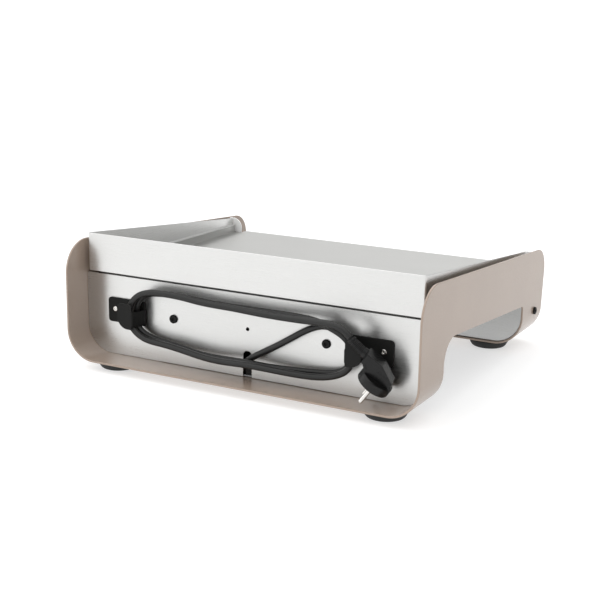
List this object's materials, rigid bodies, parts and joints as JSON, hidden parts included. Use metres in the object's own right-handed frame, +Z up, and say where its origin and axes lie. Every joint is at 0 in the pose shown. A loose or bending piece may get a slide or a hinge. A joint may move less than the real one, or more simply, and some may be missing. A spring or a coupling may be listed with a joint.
{
  "type": "electric tabletop heating plate",
  "caption": "Tabletop electric hot plate: steel cooking plate with splash guard in a bent-sheet taupe cradle, control box, drip tray, rear brackets and wound mains lead.",
  "frame": {"origin": "on the surface the feet stand on, below the middle of the cradle", "axes": "+Z up, -Y towards the front controls, +Y out of the rear panel, +X to the right seen from the front"},
  "size_m": [0.4452, 0.4063, 0.155],
  "materials": {
    "taupe_paint": "satin taupe powder coat",
    "brushed_steel": "fine brushed stainless sheet",
    "plate_steel": "satin cooking surface",
    "zinc_steel": "zinc plated inner sheet and hardware",
    "black_metal": "matt black",
    "black_rubber": "matt",
    "cord_rubber": "satin lead sheath",
    "black_plastic": "satin moulded",
    "white_plastic": "ceramic-filled moulding",
    "red_lens": "clear red",
    "nickel": "bright nickel plate",
    "mineral_board": "pressed mineral fibre"
  },
  "bodies": {
    "casing": {"cradle": "taupe_paint", "rear_panel": "brushed_steel", "rear_box": "zinc_steel", "rear_standoff_left": "zinc_steel", "rear_standoff_right": "zinc_steel", "rear_screw_left": "black_metal", "rear_screw_right": "black_metal", "element_housing": "zinc_steel", "control_box_rear_wall": "brushed_steel", "front_fascia": "brushed_steel", "hot_plate": "plate_steel", "heating_element": "zinc_steel", "insulation_mat": "mineral_board", "thermal_cutout": "white_plastic", "thermostat": "zinc_steel", "pilot_lamp": "red_lens", "tray_runner_left": "zinc_steel", "tray_runner_right": "zinc_steel", "terminal_block": "white_plastic", "cord_grip": "black_plastic", "side_screw_left": "black_metal", "side_screw_right": "black_metal", "cord_bracket_left": "black_metal", "cord_bracket_right": "black_metal", "bracket_screw_left": "nickel", "bracket_screw_right": "nickel", "cord": "cord_rubber", "strain_relief": "black_plastic", "plug_body": "black_plastic", "plug_pin_near": "nickel", "plug_pin_far": "nickel", "foot_front_left": "black_rubber", "foot_screw_front_left": "zinc_steel", "foot_front_right": "black_rubber", "foot_screw_front_right": "zinc_steel", "foot_rear_left": "black_rubber", "foot_screw_rear_left": "zinc_steel", "foot_rear_right": "black_rubber", "foot_screw_rear_right": "zinc_steel"},
    "knob": {"thermostat_knob": "black_plastic", "thermostat_shaft": "nickel"},
    "tray": {"drip_tray": "brushed_steel", "drip_tray_handle": "nickel"},
    "guard": {"splash_guard": "brushed_steel"}
  },
  "joints": [
    {"name": "knob_turn", "type": "hinge", "parent": "casing", "child": "knob", "pos_m": [0.165, -0.182, 0.052], "axis": [0, 1, 0], "range_deg": [0, 270]},
    {"name": "tray_slide", "type": "slide", "parent": "casing", "child": "tray", "axis": [0, -1, 0], "range_m": [0, 0.055]},
    {"name": "guard_lift", "type": "slide", "parent": "casing", "child": "guard", "axis": [0, 0, 1], "range_m": [0, 0.06]}
  ]
}
